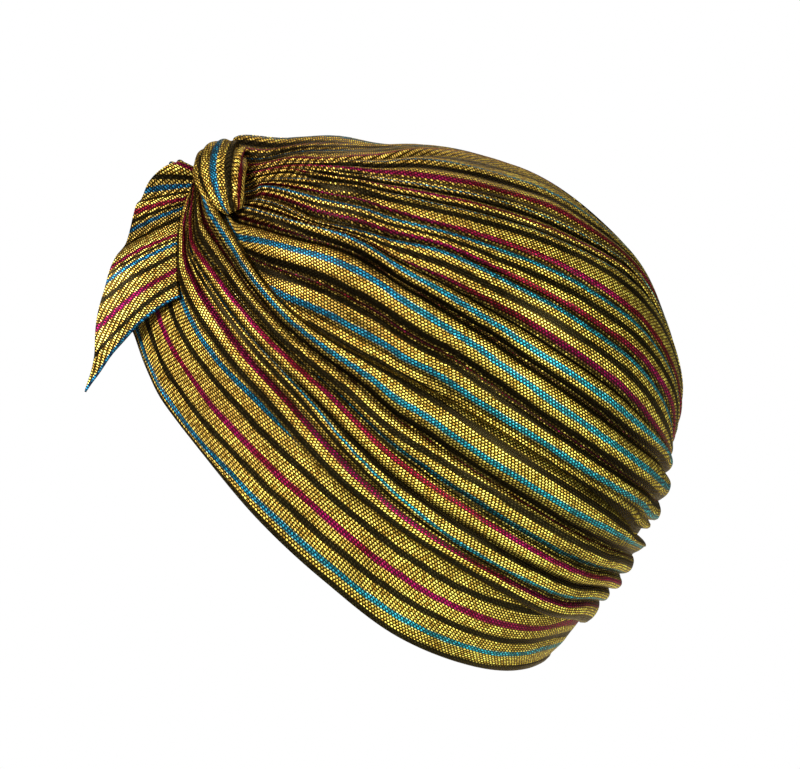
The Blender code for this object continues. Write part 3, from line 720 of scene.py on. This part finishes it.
def makeNeck():
    look = neckLook
    rows = np.array(look["rows"])
    along = np.linspace(-1, 1, look["steps"][0] + 1)
    knots = rows[:, 0] / rows[-1, 0]
    wide, thick = (smoothThrough(knots, rows[:, k], abs(along)) for k in (1, 2))
    side = abs(along) * rows[-1, 0]
    angle, lift = (np.full(len(side), look[label]) for label in ("angle", "lift"))
    frames = formFrames(side, angle, lift, np.sign(along))
    return rollOfCloth("neckCloth", frames, wide, thick, look, 0 * along)


tailLook = {
    "slot": "tail_cloth",
    "rows": (   # root and free edge, bow upwards, height of the fold
        ((9.6, -75.8, -8.9), (9.0, -80.1, -5.4), 0.0, 0.0),
        ((10.0, -76.6, -11.2), (9.6, -86.6, -8.1), 0.5, 2.2),
        ((10.4, -77.0, -13.1), (10.4, -92.4, -12.7), 0.5, -1.4),
        ((11.0, -77.4, -15.8), (11.6, -95.5, -19.6), 0.5, -1.0),
        ((11.8, -78.2, -18.9), (13.6, -97.8, -24.6), 0.5, 2.2),
        ((14.0, -80.1, -25.0), (18.0, -101.3, -35.0), 0.5, -2.4),
        ((19.0, -81.2, -32.7), (24.0, -105.8, -45.0), 1.0, 1.6),
        ((28.0, -81.6, -39.7), (29.0, -109.4, -56.2), 1.0, 1.2),
        ((36.0, -81.6, -46.6), (33.0, -112.7, -68.5), 1.5, 0.2),
        ((42.0, -81.2, -52.7), (35.0, -113.0, -80.9), 2.5, 0.6),
        ((47.0, -80.5, -57.8), (36.0, -116.7, -94.3), 5.5, 0.0),
    ),
    "stripes": (   # row, place across the cloth
        (0, -55), (0.5, -50), (1.8, -45), (2.6, -40), (3.5, -35), (4.2, -30), (4.7, -20), (5.0, -17),
        (5.3, -15), (6.0, -13), (6.3, -10), (6.7, 0), (7.3, 5), (8.15, 10), (9.0, 15), (10.0, 20),
    ),
    "steps": (64, 150),
    "wall": 1.0,
    "rise": 2.2,   # least distance of its root from the form
    "tuck": 3.0,   # how far its root goes in under the wrap
    "tuckRows": 5,
    "rootFold": 0.3,   # share of a fold's height at the root
    "light": (0.6, 0.35),   # painted light in its colour: the light between folds, and what each mm of height adds
    "ripple": (0.35, 15.0, 7),
    # painted light makes the tail's colour brighter
    "finish": {"valleyShade": 0.40, "frontPaintedLight": (1.25, 1.2, 1.5)},
}


def makeTail():
    look = tailLook
    rows = look["rows"]
    knots = range(len(rows))
    at = np.linspace(0, len(rows) - 1, look["steps"][1])
    root, free = (
        np.stack([smoothThrough(knots, [r[edge][k] for r in rows], at) for k in range(3)], axis=-1)
        for edge in (0, 1)
    )
    bow, stand = (smoothThrough(knots, [r[k] for r in rows], at)[:, None] for k in (2, 3))
    onForm = placeOf(np.array([directionOf(y, z) for y, z in root[:, 1:]]))[:, 0]
    root[:, 1] += look["tuck"] * np.clip(look["tuckRows"] - at, 0, 1)
    root[:, 0] = np.maximum(root[:, 0], onForm + look["rise"])
    onward = np.linspace(0, 1, look["steps"][0])
    middle = root[:, None] + (free - root)[:, None] * onward[:, None]
    middle[..., 2] += bow * 4 * onward * (1 - onward)
    normals = np.cross(np.gradient(middle, axis=1), np.gradient(middle, axis=0))
    normals /= np.linalg.norm(normals, axis=-1, keepdims=True)
    normals *= np.sign(normals[..., :1])
    height, size, seed = look["ripple"]
    stand = stand * (look["rootFold"] + (1 - look["rootFold"]) * onward)
    stand = stand + height * softNoise(middle, size, seed) * onward
    middle = middle + normals * stand[..., None]
    outer, inner = middle + normals * look["wall"] / 2, middle - normals * look["wall"] / 2
    along, across = distances(middle, 1), distances(middle, 0)
    stripes = np.interp(at, *zip(*look["stripes"]))
    shown = evenWidths(np.broadcast_to(stripes, stand.T.shape), across.T).T
    # painted light: folds that stand out are lighter, those that sink are darker
    light = np.clip(look["light"][0] + look["light"][1] * stand, 0, 1)
    return sheetMesh("tailCloth", outer, inner, (along, across), (shown, 1000 * light))


band = makeBand()
leftWrap, rightWrap = makeWraps()
crown = makeCrown()
knot = makeKnot()
neck = makeNeck()
tail = makeTail()
print("cloth shaped")

# Colours of the threads, and of the ground that shows between them
clothColours = {
    "gold": ((1.0, 0.76, 0.12), (0.026, 0.014, 0.001)),
    # blue and teal are one stripe's thread with painted light: darker blue at the front and top, lighter
    # teal at the back and bottom
    "blue": ((0.020, 0.25, 0.34), (0.001, 0.016, 0.034)),
    "teal": ((0.045, 0.47, 0.47), (0.001, 0.026, 0.040)),
    "crimson": ((0.27, 0.012, 0.026), (0.030, 0.001, 0.004)),
    "magenta": ((0.35, 0.008, 0.078), (0.036, 0.001, 0.011)),
    "black": ((0.026, 0.021, 0.006), (0.003, 0.0025, 0.001)),
}
effectShape = {   # the same in every material
    "softEdge": 0.22,   # of a stripe, mm
    "roundness": 2.2,   # of a thread
    "threadEdge": (1.35, 0.55),   # from outside a thread to inside it
    "threadTop": (1.8, 0.0),
    "detail": 3.0, "spread": (0.3, 0.7),   # of light and dark
    "wobbleScale": 55.0, "wobble": 1.2,   # how far the stripes' edges wander, mm
    "hueScale": 22.0, "hue": (0.38, 0.58),   # patches of crimson and magenta
    "toneNoise": 0.12, "toneFall": (0.09, -0.6), "tone": (-0.02, 0.16),   # painted light that changes from the front and top to the back and bottom, m
}
clothFinish = {   # a piece's own finish takes the place of these
    "stripes": {"Blue Half Width": 1.25, "Crimson Half Width": 1.35, "Black Half Width": 1.35},   # mm
    "weave": {"Pitch Along": 1.50, "Pitch Across": 1.05, "Thread Along": 0.46, "Thread Across": 0.345},
    "variation": {"Size": 42.0, "Low": 0.72, "High": 1.2},
    "sparkle": 0.35,   # painted sparkle: light that a bright thread keeps in a valley's painted shade
    "sparkleRange": (0.7, 0.95),
    # painted glints: at random a thread is tinted dim and orange or bright and pale
    "paintedDimThread": (0.45, 0.33, 0.25),
    "paintedGlintThread": (1.4, 1.36, 1.5),
    # painted light at the front and top, and at the back and bottom
    "frontPaintedLight": (1.0, 0.93, 1.0),
    "backPaintedLight": (0.90, 1.04, 1.0),
    "metal": (0.35, 0.9),   # ground and thread
    "roughness": 0.30,
    "roughnessSpread": 0.16,
    "bump": (0.6, 0.0003),   # strength, distance in m
    "specular": 0.1,
    "specularTint": (1.0, 0.74, 0.28),
}


def put(tree, value, socket):
    # links a socket to it, or sets its number or colour
    if isinstance(value, bpy.types.NodeSocket):
        tree.links.new(value, socket)
    else:
        socket.default_value = (*value, 1) if isinstance(value, tuple) else value


def calc(tree, operation, first, second=0.0):
    node = tree.nodes.new("ShaderNodeMath")
    node.operation = operation
    for socket, value in zip(node.inputs, (first, second)):
        put(tree, value, socket)
    return node.outputs[0]


def ranged(tree, value, low, high, lowOut=0.0, highOut=1.0, kind="SMOOTHSTEP"):
    node = tree.nodes.new("ShaderNodeMapRange")
    node.interpolation_type = kind
    labels = ("Value", "From Min", "From Max", "To Min", "To Max")
    for label, given in zip(labels, (value, low, high, lowOut, highOut)):
        put(tree, given, node.inputs[label])
    return node.outputs["Result"]


def mixed(tree, factor, first, second, blend="MIX"):
    node = tree.nodes.new("ShaderNodeMix")
    node.data_type = "RGBA"
    node.blend_type = blend
    for k, value in ((0, factor), (6, first), (7, second)):
        put(tree, value, node.inputs[k])
    return node.outputs[2]


def newGroup(name, inputs, outputs, kind="NodeSocketFloat"):
    group = bpy.data.node_groups.new(name, "ShaderNodeTree")
    for label, value in inputs.items():
        socket = group.interface.new_socket(name=label, in_out="INPUT", socket_type="NodeSocketFloat")
        socket.default_value = value
    for label in outputs:
        group.interface.new_socket(name=label, in_out="OUTPUT", socket_type=kind)
    return group, group.nodes.new("NodeGroupInput").outputs, group.nodes.new("NodeGroupOutput").inputs


def makeStripeGroup():
    inputs = {"Across": 0.0, "Wobble": 0.0, "Tone": 0.5, "Hue": 0.5, **clothFinish["stripes"]}
    group, given, out = newGroup("stripe colours", inputs, ("Thread", "Ground"), "NodeSocketColor")
    thread, ground = clothColours["gold"]
    # the blue stripe's painted light: blue at the front and top, teal at the back and bottom
    blues, crimsons = (
        [mixed(group, given[label], clothColours[one][k], clothColours[other][k]) for k in range(2)]
        for label, one, other in (("Tone", "blue", "teal"), ("Hue", "crimson", "magenta"))
    )
    across = calc(group, "ADD", calc(group, "MULTIPLY", given["Across"], 1 / millimetre), given["Wobble"])
    folded = calc(group, "PINGPONG", across, 10.0)   # 0 at blue, 5 at black, 10 at crimson
    softEdge = effectShape["softEdge"]
    for centre, width, colours in (
        (0.0, "Blue Half Width", blues),
        (10.0, "Crimson Half Width", crimsons),
        (5.0, "Black Half Width", clothColours["black"]),
    ):
        away = calc(group, "ABSOLUTE", calc(group, "SUBTRACT", folded, centre))
        inside = ranged(group, calc(group, "SUBTRACT", away, given[width]), softEdge, -softEdge)
        thread = mixed(group, inside, thread, colours[0])
        ground = mixed(group, inside, ground, colours[1])
    put(group, thread, out["Thread"])
    put(group, ground, out["Ground"])
    return group


def makeWeaveGroup():
    inputs = {"Along": 0.0, "Across": 0.0, **clothFinish["weave"]}
    group, given, out = newGroup("metallic weave", inputs, ("Thread Mask", "Height", "Glint"))

    def inPitches(way):
        place = calc(group, "MULTIPLY", given[way], 1 / millimetre)
        return calc(group, "DIVIDE", place, given["Pitch " + way])

    def fromThread(way, place, start):
        # distance from the middle of the thread, as a share of its half size
        centred = calc(group, "SUBTRACT", calc(group, "SUBTRACT", place, start), 0.5)
        away = calc(group, "MULTIPLY", centred, given["Pitch " + way])
        share = calc(group, "ABSOLUTE", calc(group, "DIVIDE", away, given["Thread " + way]))
        return calc(group, "POWER", share, effectShape["roundness"])

    across = inPitches("Across")
    row = calc(group, "FLOOR", across)
    evenRow = calc(group, "MODULO", calc(group, "ADD", row, 1000.0), 2.0)   # rows may be below 0
    along = calc(group, "ADD", inPitches("Along"), calc(group, "MULTIPLY", evenRow, 0.5))
    cell = calc(group, "FLOOR", along)
    far = calc(group, "ADD", fromThread("Along", along, cell), fromThread("Across", across, row))
    random = group.nodes.new("ShaderNodeTexWhiteNoise")
    random.noise_dimensions = "2D"
    pair = group.nodes.new("ShaderNodeCombineXYZ")
    put(group, cell, pair.inputs[0])
    put(group, row, pair.inputs[1])
    put(group, pair.outputs[0], random.inputs["Vector"])
    put(group, ranged(group, far, *effectShape["threadEdge"]), out["Thread Mask"])
    put(group, ranged(group, far, *effectShape["threadTop"]), out["Height"])
    put(group, random.outputs["Value"], out["Glint"])
    return group


def makeVariationGroup():
    values, inputs = effectShape, clothFinish["variation"]
    group, given, out = newGroup("soft variation", inputs, ("Factor", "Wobble", "Tone", "Hue"))
    place = group.nodes.new("ShaderNodeTexCoord").outputs["Object"]

    def noise(scale):
        node = group.nodes.new("ShaderNodeTexNoise")
        put(group, place, node.inputs["Vector"])
        put(group, scale, node.inputs["Scale"])
        return node

    large = noise(given["Size"])
    large.inputs["Detail"].default_value = values["detail"]
    limits = (*values["spread"], given["Low"], given["High"])
    put(group, ranged(group, large.outputs["Fac"], *limits, "LINEAR"), out["Factor"])
    slow = noise(values["wobbleScale"]).outputs["Fac"]
    put(group, calc(group, "MULTIPLY", calc(group, "SUBTRACT", slow, 0.5), values["wobble"]), out["Wobble"])
    # painted light: a tone from the front and top to the back and bottom, with a slow wobble
    split = group.nodes.new("ShaderNodeSeparateXYZ")
    put(group, place, split.inputs[0])
    height, fall = values["toneFall"]
    lower = calc(group, "MULTIPLY", calc(group, "ADD", split.outputs["Z"], height), fall)
    backward = calc(group, "ADD", calc(group, "MULTIPLY", slow, values["toneNoise"]), split.outputs["Y"])
    put(group, ranged(group, calc(group, "ADD", backward, lower), *values["tone"]), out["Tone"])
    put(group, ranged(group, noise(values["hueScale"]).outputs["Fac"], *values["hue"]), out["Hue"])
    return group


stripeGroup = makeStripeGroup()
weaveGroup = makeWeaveGroup()
variationGroup = makeVariationGroup()


def makeCloth(name, ownFinish):
    values = {**clothFinish, **ownFinish}
    made = bpy.data.materials.new(name)
    made.use_nodes = True
    tree = made.node_tree
    shader = tree.nodes["Principled BSDF"]

    def place(group, ownValues):
        node = tree.nodes.new("ShaderNodeGroup")
        node.node_tree = group
        for label, number in ownValues.items():
            node.inputs[label].default_value = number
        return node

    def clothPlace(layer):
        node = tree.nodes.new("ShaderNodeUVMap")
        node.uv_map = layer
        split = tree.nodes.new("ShaderNodeSeparateXYZ")
        put(tree, node.outputs["UV"], split.inputs[0])
        return split.outputs

    weavePlace, stripePlace = clothPlace("weave"), clothPlace("stripes")
    variation = place(variationGroup, values["variation"])
    stripe, weave = place(stripeGroup, values["stripes"]), place(weaveGroup, values["weave"])
    put(tree, stripePlace[0], stripe.inputs["Across"])
    for label in ("Wobble", "Tone", "Hue"):
        put(tree, variation.outputs[label], stripe.inputs[label])
    put(tree, weavePlace[0], weave.inputs["Along"])
    put(tree, weavePlace[1], weave.inputs["Across"])
    glint, threadMask = weave.outputs["Glint"], weave.outputs["Thread Mask"]
    # painted glints on the threads
    lit = mixed(tree, glint, values["paintedDimThread"], values["paintedGlintThread"])
    lit = mixed(tree, 1.0, stripe.outputs["Thread"], lit, "MULTIPLY")
    colour = mixed(tree, threadMask, stripe.outputs["Ground"], lit)
    colour = mixed(tree, 1.0, colour, variation.outputs["Factor"], "MULTIPLY")
    # painted light: the colour is toned one way at the front and top and another at the back and bottom
    tone = mixed(tree, variation.outputs["Tone"], values["frontPaintedLight"], values["backPaintedLight"])
    colour = mixed(tree, 1.0, colour, tone, "MULTIPLY")
    # painted sparkle: bright threads keep some light in the painted shade
    sparkle = calc(tree, "MULTIPLY", ranged(tree, glint, *values["sparkleRange"]), threadMask)
    # painted shade: the light kept in the stripes map darkens the colour in the valleys between folds and
    # pleats
    paintedShade = ranged(tree, stripePlace[1], 0.0, 1.0, values["valleyShade"], 1.0)
    paintedShade = calc(tree, "MAXIMUM", paintedShade, calc(tree, "MULTIPLY", sparkle, values["sparkle"]))
    put(tree, mixed(tree, 1.0, colour, paintedShade, "MULTIPLY"), shader.inputs["Base Color"])
    put(tree, ranged(tree, threadMask, 0.0, 1.0, *values["metal"]), shader.inputs["Metallic"])
    rough = calc(tree, "ADD", calc(tree, "MULTIPLY", glint, values["roughnessSpread"]), values["roughness"])
    put(tree, rough, shader.inputs["Roughness"])
    bump = tree.nodes.new("ShaderNodeBump")
    bump.inputs["Strength"].default_value, bump.inputs["Distance"].default_value = values["bump"]
    put(tree, weave.outputs["Height"], bump.inputs["Height"])
    put(tree, bump.outputs["Normal"], shader.inputs["Normal"])
    shader.inputs["Specular IOR Level"].default_value = values["specular"]
    shader.inputs["Specular Tint"].default_value = (*values["specularTint"], 1)
    return made


looks = {"bandCloth": bandLook, "wrapCloth": wrapLook, "crownCloth": crownLook,
         "knotCloth": knotLook, "neckCloth": neckLook, "tailCloth": tailLook}
cloths = {name: makeCloth(name + "Finish", look["finish"]) for name, look in looks.items()}
for piece, cloth, node in (
    (band, "bandCloth", "head_band"),
    (leftWrap, "wrapCloth", "left_wrap"),
    (rightWrap, "wrapCloth", "right_wrap"),
    (crown, "crownCloth", "crown"),
    (knot, "knotCloth", "knot"),
    (neck, "neckCloth", "knot_neck"),
    (tail, "tailCloth", "tail"),
):
    piece.data.materials.append(cloths[cloth])
    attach(piece, "root")
    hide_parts(node)
print("cloth finished")

# Floor, light and camera, in metres
studio = {
    "floorHeight": -0.5,
    "floorHalf": 3.8,
    "floorColour": (0.85, 0.85, 0.85),
    "floorRoughness": 0.9,
    "sky": 0.14,   # light from all round
    "backdrop": 1.0,   # brightness behind the object
    "aim": (0.0, 0.00385, -0.0914),
    "lights": (   # name, place, size, watts
        ("keyLight", (1.8, 1.4, 0.5), 0.9, 72),
        ("frontLight", (1.2, -1.7, 1.5), 0.8, 104),
        ("backLight", (-1.5, 0.3, 1.3), 1.0, 5),
    ),
    "cameraDistance": 9.0,
    "frameWidth": 0.308,
    "sensor": 36,   # mm
}


def addObject(name, data):
    made = bpy.data.objects.new(name, data)
    scene.collection.objects.link(made)
    return made


floorMesh = bpy.data.meshes.new("studioFloor")
half, low = studio["floorHalf"], studio["floorHeight"]
floorCorners = [(x, y, low) for x, y in ((-half, -half), (half, -half), (half, half), (-half, half))]
floorMesh.from_pydata(floorCorners, [], [(0, 1, 2, 3)])
floorPaint = bpy.data.materials.new("floorPaint")
floorPaint.use_nodes = True
paint = floorPaint.node_tree.nodes["Principled BSDF"].inputs
paint["Base Color"].default_value = (*studio["floorColour"], 1)
paint["Roughness"].default_value = studio["floorRoughness"]
floorMesh.materials.append(floorPaint)
addObject("studioFloor", floorMesh)

world = bpy.data.worlds.new("studioWorld")
scene.world = world
world.use_nodes = True
sky = world.node_tree
background = sky.nodes["Background"].inputs
background["Color"].default_value = (1, 1, 1, 1)
seen = sky.nodes.new("ShaderNodeLightPath").outputs["Is Camera Ray"]   # pale, but gives less light
put(sky, ranged(sky, seen, 0.0, 1.0, studio["sky"], studio["backdrop"]), background["Strength"])
scene.view_settings.view_transform = "Standard"

for name, place, size, watts in studio["lights"]:
    light = bpy.data.lights.new(name, "AREA")
    light.size = size
    light.energy = watts
    lamp = addObject(name, light)
    lamp.location = place
    fromAim = Vector([there - here for there, here in zip(place, studio["aim"])])
    lamp.rotation_euler = fromAim.to_track_quat("Z", "Y").to_euler()

cameraData = bpy.data.cameras.new("camera")
cameraData.sensor_width = studio["sensor"]
cameraData.lens = studio["sensor"] * studio["cameraDistance"] / studio["frameWidth"]
camera = addObject("camera", cameraData)
camera.location = (studio["cameraDistance"], *studio["aim"][1:])
camera.rotation_euler = (math.pi / 2, 0, math.pi / 2)
scene.camera = camera
print("studio ready")
